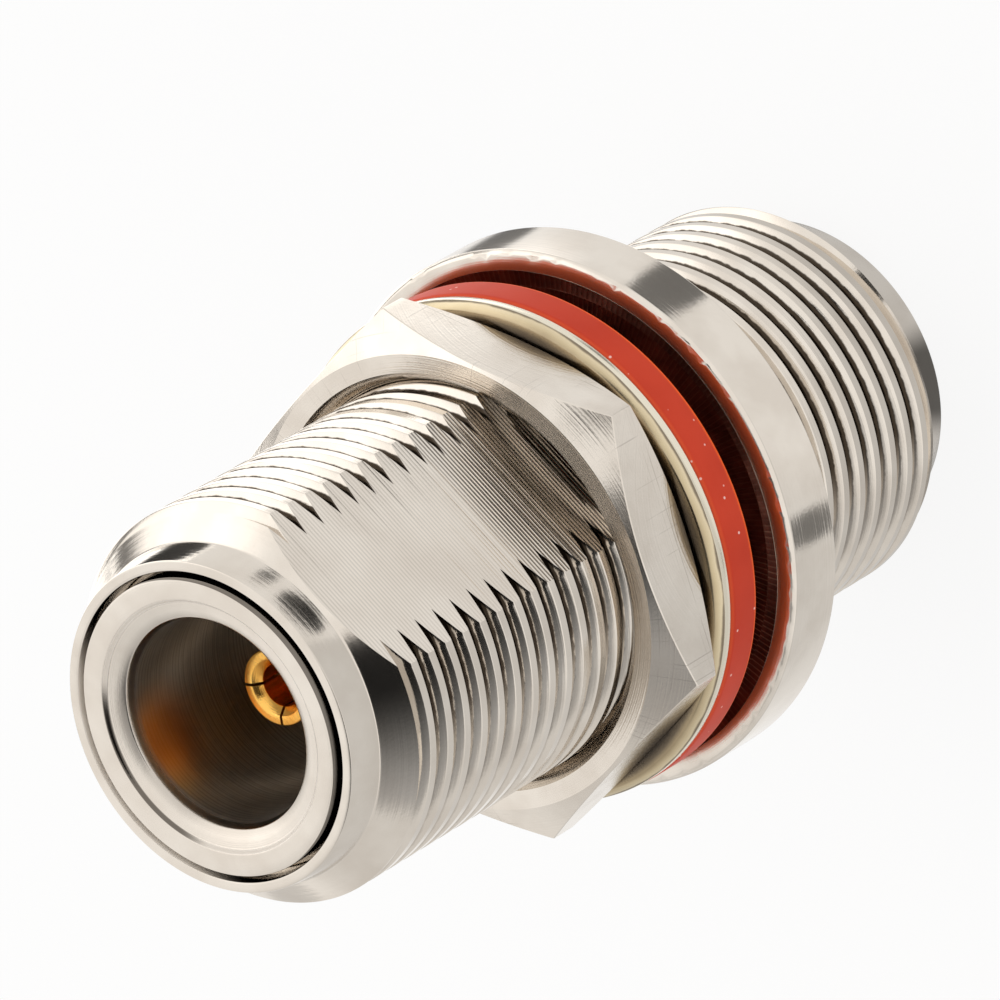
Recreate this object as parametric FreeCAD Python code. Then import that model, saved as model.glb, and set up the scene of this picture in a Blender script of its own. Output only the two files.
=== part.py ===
import FreeCAD, Part
import math
import os

# Coaxial panel adapter with a socket at each end, in millimetres. Z runs up its axis: the far end
# stands on Z = 0, the near end with the nut is on top, and the flat milled on its barrel faces -Y.

# Overall sizes of the turned shell
TOTAL_LENGTH = 38.0
BARREL_R = 7.92
FLAT_DEPTH = 1.0
FLANGE_REACH = 3.03
FLANGE_THICK = 2.82
FLANGE_FOOT = 13.25
FLANGE_BEVEL = 0.18

# Shallow recess in the flange's upper face, and the deeper groove at its root
RECESS_RIM = 0.82
RECESS_DEPTH = 0.55
ROOT_GROOVE_WIDTH = 1.38
ROOT_GROOVE_DEPTH = 0.5

# Nose of each barrel: a nearly straight land behind the rim, then the chamfer that starts the thread
RIM_INSET = 1.34
LAND_INSET = 1.16
LAND_LENGTH = 1.48
NOSE_LENGTH = 2.4

# Bores of the coaxial line, the same at both ends
MOUTH_DEPTH = 9.1
LINE_STEP = 0.55

# Entry of each mouth: a steep edge, a shallow cone and a taper down to the bore
ENTRY_WIDTH = 0.98
ENTRY_EDGE_WIDTH = 0.09
ENTRY_EDGE_DEPTH = 0.13
ENTRY_THROAT_WIDTH = 0.15
ENTRY_THROAT_DEPTH = 0.36
ENTRY_DEPTH = 0.9

# Insert sleeve, pressed into the near end
RIM_WALL = 0.42
SLEEVE_WALL = 2.11
SLEEVE_HEAD_GAP = 0.23
SLEEVE_HEAD_LENGTH = 1.5
PRESS_GAP = 0.01

# Insulating bead that carries the centre contacts
BEAD_SEAT = 1.1
BEAD_LENGTH = 8.0
FAR_LINE_LENGTH = 4.9

# Centre contacts, each with a slotted socket
SOCKET_R = 0.84
SOCKET_WALL = 0.68
SOCKET_DEPTH = 5.4
SOCKET_MOUTH = 0.3
CONTACT_RECESS = 4.05
CONTACT_NECK_STEP = 0.14
CONTACT_EDGE = 0.05
SLOT_WIDTH = 0.12
SLOT_LENGTH = 4.4
SLOT_COUNT = 4
SLOT_TURN = 45.0
SPIGOT_R = 0.7
SPIGOT_LENGTH = 5.0
SPIGOT_ROOM = 0.3
CONTACT_GAP = 0.01

# Panel seal, washer and nut, stacked above the flange
GASKET_RAISE = 1.33
GASKET_INSET = 0.72
GASKET_THICK = 1.72
GASKET_ROUND = 0.28
GASKET_STEPS = 2
GASKET_GAP = 0.03
WASHER_INSET = 0.75
WASHER_THICK = 0.68
WASHER_BEVEL = 0.32
WASHER_GAP = 0.23
NUT_INSET = 0.15
NUT_FACE_INSET = 0.153
NUT_THICK = 3.03
NUT_TURN = 26.3
NUT_CHAMFER_ANGLE = 30.0
NUT_LEAD_IN = 0.45
THREAD_GAP = 0.08
STACK_GAP = 0.03

# Radii that follow from the barrel
FLANGE_R = BARREL_R + FLANGE_REACH
FLAT_DISTANCE = BARREL_R - FLAT_DEPTH
RECESS_R = FLANGE_R - RECESS_RIM
ROOT_GROOVE_R = BARREL_R + ROOT_GROOVE_WIDTH
RIM_R = BARREL_R - RIM_INSET
LAND_R = BARREL_R - LAND_INSET
SLEEVE_R = RIM_R - RIM_WALL
SLEEVE_HEAD_R = SLEEVE_R - SLEEVE_HEAD_GAP
MOUTH_R = SLEEVE_R - SLEEVE_WALL
LINE_R = MOUTH_R - LINE_STEP
BEAD_R = LINE_R + BEAD_SEAT
CONTACT_R = SOCKET_R + SOCKET_WALL
CONTACT_NECK_R = CONTACT_R - CONTACT_NECK_STEP
GASKET_R = FLANGE_R - GASKET_INSET
WASHER_R = FLANGE_R - WASHER_INSET
NUT_CORNER_R = FLANGE_R - NUT_INSET
NUT_FACE_R = NUT_CORNER_R * math.cos(math.radians(30)) - NUT_FACE_INSET

# Heights that follow from what each piece stands on
FLANGE_TOP = FLANGE_FOOT + FLANGE_THICK
BEAD_FOOT = MOUTH_DEPTH + FAR_LINE_LENGTH
BEAD_TOP = BEAD_FOOT + BEAD_LENGTH
GASKET_FOOT = FLANGE_TOP + GASKET_RAISE
GASKET_TOP = GASKET_FOOT + GASKET_THICK
WASHER_FOOT = GASKET_TOP + STACK_GAP
WASHER_TOP = WASHER_FOOT + WASHER_THICK
NUT_FOOT = WASHER_TOP + STACK_GAP
NUT_TOP = NUT_FOOT + NUT_THICK


def revolve(outline):
    """Solid of revolution about Z from (radius, height) corners, closed on themselves."""
    points = [FreeCAD.Vector(r, 0, z) for r, z in outline]
    face = Part.Face(Part.makePolygon(points + [points[0]]))
    return face.revolve(FreeCAD.Vector(0, 0, 0), FreeCAD.Vector(0, 0, 1), 360)


def disc(radius, foot, top):
    """Solid cylinder on the axis between two heights."""
    return Part.makeCylinder(radius, top - foot, FreeCAD.Vector(0, 0, foot))


def rounded(centre_r, centre_z, radius, start, steps):
    """Outline corners along a quarter circle that turns anticlockwise from the angle start."""
    points = []
    for step in range(steps + 1):
        angle = math.radians(start + 90 * step / steps)
        points.append((centre_r + radius * math.cos(angle), centre_z + radius * math.sin(angle)))
    return points


def mouth_entry():
    """Entry of a mouth as (radius, depth below the end face) corners, from the face inwards."""
    return [
        (MOUTH_R + ENTRY_WIDTH, 0),
        (MOUTH_R + ENTRY_WIDTH - ENTRY_EDGE_WIDTH, ENTRY_EDGE_DEPTH),
        (MOUTH_R + ENTRY_THROAT_WIDTH, ENTRY_THROAT_DEPTH),
        (MOUTH_R, ENTRY_DEPTH),
    ]


def flip(shape):
    """The same shape turned end for end about the middle of the part's length."""
    centre = FreeCAD.Vector(0, 0, TOTAL_LENGTH / 2)
    turned = shape.copy()
    turned.rotate(centre, FreeCAD.Vector(1, 0, 0), 180)
    return turned


def shell():
    """The one turned shell: two barrels, the flange with its recess, and the stepped bore."""
    top = TOTAL_LENGTH
    recess_floor = FLANGE_TOP - RECESS_DEPTH
    groove_floor = recess_floor - ROOT_GROOVE_DEPTH
    outside = [
        (0, 0),
        (RIM_R, 0),
        (LAND_R, LAND_LENGTH),
        (BARREL_R, NOSE_LENGTH),
        (BARREL_R, FLANGE_FOOT),
        (FLANGE_R - FLANGE_BEVEL, FLANGE_FOOT),
        (FLANGE_R, FLANGE_FOOT + FLANGE_BEVEL),
        (FLANGE_R, FLANGE_TOP - FLANGE_BEVEL),
        (FLANGE_R - FLANGE_BEVEL, FLANGE_TOP),
        (RECESS_R, FLANGE_TOP),
        (RECESS_R, recess_floor),
        (ROOT_GROOVE_R, recess_floor),
        (ROOT_GROOVE_R, groove_floor),
        (BARREL_R, groove_floor),
        (BARREL_R, top - NOSE_LENGTH),
        (LAND_R, top - LAND_LENGTH),
        (RIM_R, top),
        (0, top),
    ]
    body = revolve(outside)
    milled = Part.makeBox(
        2 * FLANGE_R,
        FLANGE_R - FLAT_DISTANCE,
        top - FLANGE_TOP,
        FreeCAD.Vector(-FLANGE_R, -FLANGE_R, FLANGE_TOP),
    )
    body = body.cut(milled)
    stepped_bore = [
        (0, 0),
        *mouth_entry(),
        (MOUTH_R, MOUTH_DEPTH),
        (LINE_R, MOUTH_DEPTH),
        (LINE_R, BEAD_FOOT),
        (BEAD_R + PRESS_GAP, BEAD_FOOT),
        (BEAD_R + PRESS_GAP, BEAD_TOP),
        (SLEEVE_R, BEAD_TOP),
        (SLEEVE_R, top),
        (0, top),
    ]
    return body.cut(revolve(stepped_bore))


def insert_sleeve():
    """Outer conductor of the near end, with the head that the dark gap rings."""
    top = TOTAL_LENGTH
    press_r = SLEEVE_R - PRESS_GAP
    return revolve([
        (LINE_R, BEAD_TOP),
        (press_r, BEAD_TOP),
        (press_r, top - SLEEVE_HEAD_LENGTH),
        (SLEEVE_HEAD_R, top - SLEEVE_HEAD_LENGTH),
        (SLEEVE_HEAD_R, top),
        *((r, top - depth) for r, depth in mouth_entry()),
        (MOUTH_R, top - MOUTH_DEPTH),
        (LINE_R, top - MOUTH_DEPTH),
    ])


def insulating_bead():
    """White bead between the shell's step and the sleeve's foot."""
    return disc(BEAD_R, BEAD_FOOT, BEAD_TOP).cut(disc(CONTACT_NECK_R + CONTACT_GAP, BEAD_FOOT, BEAD_TOP))


def spring_socket(foot):
    """Upright centre contact from its foot to the near tip, with the slots that let it spring."""
    tip = TOTAL_LENGTH - CONTACT_RECESS
    outline = [
        (0, foot),
        (CONTACT_R, foot),
        (CONTACT_R, tip - CONTACT_EDGE),
        (CONTACT_R - CONTACT_EDGE, tip),
        (SOCKET_R + SOCKET_MOUTH, tip),
        (SOCKET_R, tip - SOCKET_MOUTH),
        (SOCKET_R, tip - SOCKET_DEPTH),
        (0, tip - SOCKET_DEPTH),
    ]
    socket = revolve(outline)
    for step in range(SLOT_COUNT):
        slot = Part.makeBox(
            2 * CONTACT_R,
            SLOT_WIDTH,
            SLOT_LENGTH,
            FreeCAD.Vector(0, -SLOT_WIDTH / 2, tip - SLOT_LENGTH),
        )
        turn = SLOT_TURN + step * 360 / SLOT_COUNT
        slot.rotate(FreeCAD.Vector(0, 0, 0), FreeCAD.Vector(0, 0, 1), turn)
        socket = socket.cut(slot)
    return socket


def near_contact():
    """Near socket with the neck that runs through the bead and takes the far contact's spigot."""
    contact = spring_socket(BEAD_TOP).fuse(disc(CONTACT_NECK_R, BEAD_FOOT, BEAD_TOP))
    pocket = disc(SPIGOT_R + CONTACT_GAP, BEAD_FOOT, BEAD_FOOT + SPIGOT_LENGTH + SPIGOT_ROOM)
    return contact.cut(pocket).removeSplitter()


def far_contact():
    """Far socket, closed on the bead from below, with the spigot pressed into the near contact."""
    socket = flip(spring_socket(TOTAL_LENGTH - BEAD_FOOT))
    return socket.fuse(disc(SPIGOT_R, BEAD_FOOT, BEAD_FOOT + SPIGOT_LENGTH)).removeSplitter()


def gasket():
    """Silicone panel seal that grips the barrel above the flange, with its outer edges rounded off."""
    bore_r = BARREL_R + GASKET_GAP
    round_r = GASKET_R - GASKET_ROUND
    return revolve([
        (bore_r, GASKET_FOOT),
        *rounded(round_r, GASKET_FOOT + GASKET_ROUND, GASKET_ROUND, 270, GASKET_STEPS),
        *rounded(round_r, GASKET_TOP - GASKET_ROUND, GASKET_ROUND, 0, GASKET_STEPS),
        (bore_r, GASKET_TOP),
    ])


def washer():
    """Flat washer with a bevelled upper rim."""
    bore_r = BARREL_R + WASHER_GAP
    return revolve([
        (bore_r, WASHER_FOOT),
        (WASHER_R, WASHER_FOOT),
        (WASHER_R, WASHER_TOP - WASHER_BEVEL),
        (WASHER_R - WASHER_BEVEL, WASHER_TOP),
        (bore_r, WASHER_TOP),
    ])


def hex_nut():
    """Thin hexagon nut, turned to a chamfer on both faces."""
    corners = []
    for step in range(6):
        angle = math.radians(NUT_TURN + step * 60)
        corners.append(FreeCAD.Vector(NUT_CORNER_R * math.cos(angle), NUT_CORNER_R * math.sin(angle), NUT_FOOT))
    hexagon = Part.Face(Part.makePolygon(corners + [corners[0]])).extrude(FreeCAD.Vector(0, 0, NUT_THICK))
    fall = (NUT_CORNER_R - NUT_FACE_R) * math.tan(math.radians(NUT_CHAMFER_ANGLE))
    turned = revolve([
        (0, NUT_FOOT),
        (NUT_FACE_R, NUT_FOOT),
        (NUT_CORNER_R, NUT_FOOT + fall),
        (NUT_CORNER_R, NUT_TOP - fall),
        (NUT_FACE_R, NUT_TOP),
        (0, NUT_TOP),
    ])
    bore_r = BARREL_R + THREAD_GAP
    bore = revolve([
        (0, NUT_FOOT),
        (bore_r + NUT_LEAD_IN, NUT_FOOT),
        (bore_r, NUT_FOOT + NUT_LEAD_IN),
        (bore_r, NUT_TOP - NUT_LEAD_IN),
        (bore_r + NUT_LEAD_IN, NUT_TOP),
        (0, NUT_TOP),
    ])
    return hexagon.common(turned).cut(bore)


PARTS = {
    "shell": shell,
    "insert_sleeve": insert_sleeve,
    "insulating_bead": insulating_bead,
    "near_contact": near_contact,
    "far_contact": far_contact,
    "gasket": gasket,
    "washer": washer,
    "hex_nut": hex_nut,
}

os.makedirs("parts", exist_ok=True)
for name, make in PARTS.items():
    solid = make()
    if solid.ShapeType == "Compound" and len(solid.Solids) == 1:
        solid = solid.Solids[0]
    solid.exportStep(os.path.join("parts", name + ".step"))
    box = solid.BoundBox
    print(name, "volume", round(solid.Volume, 2), "solids", len(solid.Solids), "valid", solid.isValid(),
          "z", round(box.ZMin, 2), round(box.ZMax, 2), "width", round(box.XLength, 2))
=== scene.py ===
"""Looks of the coaxial panel adapter: threads, flat, finishes, light and camera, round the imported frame."""

import math

import bmesh
import bpy
from mathutils import Matrix, Vector


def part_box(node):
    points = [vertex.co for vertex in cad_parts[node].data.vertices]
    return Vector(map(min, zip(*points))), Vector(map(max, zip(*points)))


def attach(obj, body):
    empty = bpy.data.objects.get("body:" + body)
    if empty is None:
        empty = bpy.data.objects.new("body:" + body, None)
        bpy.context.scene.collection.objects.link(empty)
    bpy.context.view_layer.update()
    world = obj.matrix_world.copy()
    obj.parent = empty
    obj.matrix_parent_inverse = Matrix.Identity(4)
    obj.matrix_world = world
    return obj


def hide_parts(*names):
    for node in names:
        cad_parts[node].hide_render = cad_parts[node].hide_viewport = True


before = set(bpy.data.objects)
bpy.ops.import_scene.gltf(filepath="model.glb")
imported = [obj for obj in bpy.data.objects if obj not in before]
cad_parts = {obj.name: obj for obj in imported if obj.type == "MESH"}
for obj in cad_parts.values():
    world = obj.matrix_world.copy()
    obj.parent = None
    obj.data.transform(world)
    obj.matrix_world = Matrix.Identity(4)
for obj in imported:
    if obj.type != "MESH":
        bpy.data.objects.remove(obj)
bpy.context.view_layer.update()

MM = 0.001
COLUMNS = 240
FEW_COLUMNS = 96
TURN = 2 * math.pi

# Limits of the mesh work: sharp fold in degrees, cosine of a straight corner, and distances in metres
SHARP_ANGLE = 27
STRAIGHT = -0.985
TOUCH = 1e-7
WELD_REACH = 2e-7
CUT_REACH = 1e-8

# Softened edges: sizes in millimetres, most of a side that a corner takes, and pull of its middle point
SHELL_EDGE = 0.04
RING_EDGE = 0.05
BEAD_EDGE = 0.1
CONTACT_EDGE = 0.03
CORNER_SHARE = 0.4
MIDDLE_PULL = 0.3

# Thread of both barrels, in millimetres: 24 turns to the inch, 60 degree V
PITCH = 25.4 / 24
CREST_R = 7.92
CREST_HALF = 0.19
CREST_EDGE = 0.02
CREST_HEIGHT = 35.19
FLANK = PITCH / 2 - CREST_HALF
FLANK_SLOPE = math.tan(math.radians(60))
ROOT_R = CREST_R - FLANK * FLANK_SLOPE
NEAR_THREAD_FOOT = 17.0
FAR_THREAD_TOP = 12.3
RUN_OUT = 0.6
THREAD_COLLAR = 0.5

# Turned shell, in millimetres
TOP = 38.0
RIM_R = 6.58
LAND_R = 6.76
LAND_LENGTH = 1.48
LAND_MARGIN = 0.06
NOSE_LENGTH = 2.4
FLANGE_FOOT = 13.25
FLANGE_TOP = 16.07
FLANGE_R = 10.95
FOOT_BEVEL = 0.14
TOP_BEVEL = 0.16
BEVEL_R = FLANGE_R - TOP_BEVEL
FLAT_DISTANCE = 6.92
FLAT_Y = -FLAT_DISTANCE * MM
RECESS_R = 10.13
RECESS_FLOOR = 15.52
GROOVE_R = 9.3
GROOVE_FLOOR = 15.02
SLEEVE_SEAT_R = 6.16
SEAT_TURNED = 0.4
BEAD_SEAT_R = 4.61
BEAD_FOOT = 14.0
BEAD_TOP = 22.0
LINE_R = 3.5

# Mouth of both ends, in millimetres
MOUTH_R = 4.05
MOUTH_DEPTH = 9.1
ENTRY_R = 5.03
ENTRY_DEPTH = 0.9
ENTRY_EDGE_WIDTH = 0.09
ENTRY_EDGE_DEPTH = 0.13
HOLLOW_WIDTH = 0.74
HOLLOW_FALL = 0.17
HOLLOW_CURL = 0.06
HOLLOW_STEPS = 7
THROAT_WIDTH = 0.09
THROAT_DEPTH = 0.55

# Ragged bevel of the flange: share of clean columns, reach and waver in millimetres, and the scatter
BURR_START = 0.72
BURR_REACH = 0.2
BEVEL_WAVER = 0.02
SCATTER_STEP = 12.9898
SCATTER_SPREAD = 43758.5453

# Inner pieces, in millimetres
PRESS_GAP = 0.01
SLEEVE_R = SLEEVE_SEAT_R - PRESS_GAP
HEAD_R = 5.93
HEAD_LENGTH = 1.5
BEAD_R = BEAD_SEAT_R - PRESS_GAP
NECK_R = 1.38
CONTACT_R = 1.52
CONTACT_LIP = 0.05
CONTACT_RECESS = 4.05
SOCKET_R = 0.84
SOCKET_CONE = 0.3
SOCKET_DEPTH = 5.4
SLOT_WIDTH = 0.12
SLOT_LENGTH = 4.4
SLOT_OVERRUN = 0.2
SLOT_REACH = 4.0
SPIGOT_R = 0.7
SPIGOT_LENGTH = 5.0

# Seal, washer and nut, in millimetres
SEAL_LOW, SEAL_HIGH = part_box("gasket")
SEAL_FOOT, SEAL_TOP, SEAL_R = SEAL_LOW.z / MM, SEAL_HIGH.z / MM, SEAL_HIGH.x / MM
SEAL_BORE_R = 7.95
SEAL_ROUND = 0.28
WASHER_LOW, WASHER_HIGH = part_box("washer")
WASHER_FOOT, WASHER_TOP, WASHER_R = WASHER_LOW.z / MM, WASHER_HIGH.z / MM, WASHER_HIGH.x / MM
WASHER_BORE_R = 8.15
WASHER_BEVEL = 0.32
WASHER_WALL_R = 10.2
NUT_LOW, NUT_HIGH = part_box("hex_nut")
NUT_FOOT, NUT_TOP = NUT_LOW.z / MM, NUT_HIGH.z / MM
NUT_CORNER_R = 10.8
NUT_FACE_R = 9.2
NUT_TURN = 26.3
NUT_SLOPE = math.tan(math.radians(30))
NUT_LIP = 0.03
NUT_BORE_R = 8.0
NUT_LEAD_IN = 0.45
RIDGE_TIP_R = 7.47
RIDGE_SLACK = 0.035
CORNER_ROUND = 0.09
CORNER_STEPS = 4
SIDE_STEPS = 38


# Outlines

def arc(centre_r, centre_z, radius, start, end, steps):
    """Points of a circular arc in the (radius, height) plane, with the angles in degrees."""
    points = []
    for step in range(steps + 1):
        angle = math.radians(start + (end - start) * step / steps)
        points.append((centre_r + radius * math.cos(angle), centre_z + radius * math.sin(angle)))
    return points


def soften(outline, size, closed=True):
    """The outline with each corner broken by a small round of three points."""
    out = []
    count = len(outline)
    for i, (r, z) in enumerate(outline):
        if not closed and i in (0, count - 1):
            out.append((r, z))
            continue
        before, after = outline[i - 1], outline[(i + 1) % count]
        a = Vector((before[0] - r, before[1] - z))
        b = Vector((after[0] - r, after[1] - z))
        turn = a.normalized().dot(b.normalized())
        if r < 1e-6 or turn < STRAIGHT:
            out.append((r, z))
            continue
        reach = min(size, CORNER_SHARE * a.length, CORNER_SHARE * b.length)
        a, b = a.normalized() * reach, b.normalized() * reach
        out.append((r + a.x, z + a.y))
        out.append((r + MIDDLE_PULL * (a.x + b.x), z + MIDDLE_PULL * (a.y + b.y)))
        out.append((r + b.x, z + b.y))
    return out


def mouth_entry(height_at):
    """Entry of a mouth from its face inwards: a steep edge, a shallow hollow, then the wall."""
    edge_r = ENTRY_R - ENTRY_EDGE_WIDTH
    steps = [(ENTRY_R, 0), (edge_r, ENTRY_EDGE_DEPTH)]
    for step in range(1, HOLLOW_STEPS + 1):
        share = step / HOLLOW_STEPS
        depth = ENTRY_EDGE_DEPTH + HOLLOW_FALL * share + HOLLOW_CURL * share ** 3
        steps.append((edge_r - HOLLOW_WIDTH * share, depth))
    steps += [(MOUTH_R + THROAT_WIDTH, THROAT_DEPTH), (MOUTH_R, ENTRY_DEPTH)]
    return [(r, height_at(depth)) for r, depth in steps]


# Meshes

def grid_mesh(bm, columns, wrap_rows):
    """Adds a closed ring of columns, each a list of (radius, height, angle) in millimetres."""
    verts = [[bm.verts.new((r * math.cos(t) * MM, r * math.sin(t) * MM, z * MM)) for r, z, t in column]
             for column in columns]
    rows = len(verts[0])
    last = rows if wrap_rows else rows - 1
    for i in range(len(verts) - 1):
        left, right = verts[i], verts[i + 1]
        for k in range(last):
            n = (k + 1) % rows
            bm.faces.new((left[k], right[k], right[n], left[n]))


def lathe_columns(outline, count):
    """Columns all round for an outline of (radius, height)."""
    return [[(r, z, TURN * i / count) for r, z in outline] for i in range(count + 1)]


def weld(bm):
    """Joins what lies in one place and removes what has no area."""
    bmesh.ops.remove_doubles(bm, verts=bm.verts, dist=WELD_REACH)
    bmesh.ops.dissolve_degenerate(bm, edges=bm.edges, dist=CUT_REACH)


def shade(bm):
    """Smooth shading with sharp edges where faces fold or where their finish changes."""
    limit = math.radians(SHARP_ANGLE)
    for face in bm.faces:
        face.smooth = True
    for edge in bm.edges:
        sides = edge.link_faces
        if len(sides) == 2 and sides[0].material_index == sides[1].material_index:
            edge.smooth = edge.calc_face_angle() < limit
        else:
            edge.smooth = False


def to_mesh(name, bm):
    """New mesh data from a finished build mesh, which is freed."""
    mesh = bpy.data.meshes.new(name)
    bm.to_mesh(mesh)
    bm.free()
    return mesh


def add_object(name, data):
    """A new object in the scene."""
    obj = bpy.data.objects.new(name, data)
    bpy.context.scene.collection.objects.link(obj)
    return obj


def piece(name, bm, body, materials, node_name):
    """Turns the mesh into a piece that rides on its body and stands for its CAD node."""
    bmesh.ops.recalc_face_normals(bm, faces=bm.faces)
    shade(bm)
    obj = add_object(name, to_mesh(name, bm))
    for each in materials:
        obj.data.materials.append(each)
    even = obj.modifiers.new("even", "WEIGHTED_NORMAL")
    even.keep_sharp = True
    even.weight = 100
    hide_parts(node_name)
    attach(obj, body)


def lathe(name, outline, body, material, node_name, count=COLUMNS):
    """A turned piece from its closed outline."""
    bm = bmesh.new()
    grid_mesh(bm, lathe_columns(outline, count), True)
    weld(bm)
    piece(name, bm, body, [material], node_name)


# Threads

def turns_between(low, high):
    """Numbers of the thread's turns that reach between two heights."""
    first = math.floor((low - CREST_HEIGHT) / PITCH) - 2
    last = math.ceil((high - CREST_HEIGHT) / PITCH) + 1
    return range(first, last + 1)


def thread_rows(angle, low, high, cap, floor, nose_end):
    """Rows of one column of the thread between two heights, from the lower end to the upper."""
    shoulder_r = CREST_R - CREST_EDGE * FLANK_SLOPE
    rows = []
    for turn in turns_between(low, high):
        middle = CREST_HEIGHT + PITCH * (angle / TURN + turn)
        root, next_root = (ROOT_R, middle - PITCH / 2), (ROOT_R, middle + PITCH / 2)
        lower = (shoulder_r, middle - CREST_HALF - CREST_EDGE)
        upper = (shoulder_r, middle + CREST_HALF + CREST_EDGE)
        from_z = middle - CREST_HALF + CREST_EDGE
        to_z = middle + CREST_HALF - CREST_EDGE
        rows += [
            root,
            flank_point(root, lower, cap),
            lower,
            cut_point(lower, (CREST_R, from_z), cap),
            (CREST_R, min(max(nose_end, from_z), to_z)),
            cut_point(upper, (CREST_R, to_z), cap),
            upper,
            flank_point(next_root, upper, cap),
        ]
    clean = []
    for r, z in rows:
        z = min(max(z, low), high)
        clean.append((max(min(r, cap(z)), floor(z)), z))
    return clean


def cut_point(inner, outer, cap):
    """The outer point, or where the nose cuts the line that leads to it from the inner one."""
    over_inner = inner[0] - cap(inner[1])
    over_outer = outer[0] - cap(outer[1])
    if not over_inner < 0 < over_outer:
        return outer
    share = over_inner / (over_inner - over_outer)
    return (inner[0] + (outer[0] - inner[0]) * share, inner[1] + (outer[1] - inner[1]) * share)


def flank_point(root, corner, cap):
    """The point of a flank where the nose cuts it, or its middle where nothing does."""
    if corner[0] > cap(corner[1]):
        return cut_point(root, corner, cap) if root[0] < cap(root[1]) else root
    return ((root[0] + corner[0]) / 2, (root[1] + corner[1]) / 2)


def nose_cap(depth):
    """Radius of the nose at a depth from its end face, with its chamfer carried on behind it."""
    if depth >= LAND_LENGTH:
        return LAND_R + (CREST_R - LAND_R) * (depth - LAND_LENGTH) / (NOSE_LENGTH - LAND_LENGTH)
    return RIM_R + (LAND_R - RIM_R) * depth / LAND_LENGTH


def near_cap(z):
    """Radius of the near nose at a height."""
    return nose_cap(TOP - z)


def near_floor(z):
    """Least radius of the near thread at a height: its grooves run out towards the flange."""
    return CREST_R - max(0.0, z - NEAR_THREAD_FOOT) if z < NEAR_THREAD_FOOT + RUN_OUT else 0.0


def far_floor(z):
    """Least radius of the far thread at a height: its grooves run out towards the flange."""
    return CREST_R - max(0.0, FAR_THREAD_TOP - z) if z > FAR_THREAD_TOP - RUN_OUT else 0.0


# Shell

def burr(angle):
    """How far the ragged bevel of the flange's rim reaches inwards at an angle, scattered by column."""
    column = round(angle / TURN * COLUMNS) % COLUMNS
    wild = math.sin(column * SCATTER_STEP) * SCATTER_SPREAD
    chance = wild - math.floor(wild)
    if chance > BURR_START:
        return BURR_REACH * (chance - BURR_START) / (1 - BURR_START)
    return BEVEL_WAVER * chance


def on_bevel(r, z):
    """Whether a point of the flange's outline belongs to the inner edge of its upper bevel."""
    return abs(r - BEVEL_R) < SHELL_EDGE + 0.005 and z > FLANGE_TOP - SHELL_EDGE / 2


def ring(bm, column_at):
    """Adds an open band of columns made by a function of the angle."""
    angles = [TURN * i / COLUMNS for i in range(COLUMNS + 1)]
    grid_mesh(bm, [[(r, z, angle) for r, z in column_at(angle)] for angle in angles], False)


def cut_at_flat(bm, clear):
    """Cuts the mesh along the plane of the flat, and clears what stands outside it where asked."""
    geometry = bm.verts[:] + bm.edges[:] + bm.faces[:]
    bmesh.ops.bisect_plane(bm, geom=geometry, dist=CUT_REACH, plane_co=Vector((0, FLAT_Y, 0)),
                           plane_no=Vector((0, -1, 0)), clear_outer=clear)


def walk(edges):
    """The vertices of a chain of edges, in order from one free end to the other."""
    neighbours = {}
    for edge in edges:
        a, b = edge.verts
        neighbours.setdefault(a, []).append(b)
        neighbours.setdefault(b, []).append(a)
    here = next(v for v, near in neighbours.items() if len(near) == 1)
    chain = [here]
    seen = {here}
    while True:
        onward = [v for v in neighbours[here] if v not in seen]
        if not onward:
            return chain
        here = onward[0]
        seen.add(here)
        chain.append(here)


def near_barrel():
    """Outside of the near barrel above the flange, with the flat cut through its thread."""
    high = TOP - LAND_LENGTH - LAND_MARGIN
    nose = soften([
        (SLEEVE_SEAT_R, TOP - SEAT_TURNED), (SLEEVE_SEAT_R, TOP), (RIM_R, TOP), (LAND_R, TOP - LAND_LENGTH),
        (near_cap(high), high)], SHELL_EDGE, closed=False)

    def column_at(angle):
        foot = [(CREST_R, FLANGE_TOP), (CREST_R, NEAR_THREAD_FOOT)]
        thread = thread_rows(angle, NEAR_THREAD_FOOT, high, near_cap, near_floor, TOP - NOSE_LENGTH)
        return foot + thread + nose[::-1]

    bm = bmesh.new()
    ring(bm, column_at)
    weld(bm)
    cut_at_flat(bm, True)
    on_plane = [edge for edge in bm.edges
                if edge.is_boundary and all(abs(vert.co.y - FLAT_Y) < TOUCH for vert in edge.verts)]
    flat = bm.faces.new(walk(on_plane))
    flat.material_index = 1
    flat.normal_update()
    bmesh.ops.triangulate(bm, faces=[flat])
    return to_mesh("near_barrel", bm)


def flat_ledge():
    """The barrel between the groove and the foot of the flat, with the ledge where the flat ends."""
    bm = bmesh.new()
    ring(bm, lambda angle: [(CREST_R, GROOVE_FLOOR), (CREST_R, FLANGE_TOP)])
    weld(bm)
    cut_at_flat(bm, False)
    rim = [vert for vert in bm.verts if vert.co.z > FLANGE_TOP * MM - TOUCH and vert.co.y < FLAT_Y + TOUCH]
    rim.sort(key=lambda vert: vert.co.x)
    bm.faces.new(rim)
    return to_mesh("flat_ledge", bm)


def shade_recess(bm):
    """Gives the flange's recess and groove their own material, which carries painted shade."""
    for face in bm.faces:
        middle = face.calc_center_median() / MM
        reach = math.hypot(middle.x, middle.y)
        if GROOVE_FLOOR - 0.01 < middle.z < FLANGE_TOP - 0.1 and CREST_R - 0.01 < reach < RECESS_R + 0.01:
            face.material_index = 2


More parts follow.
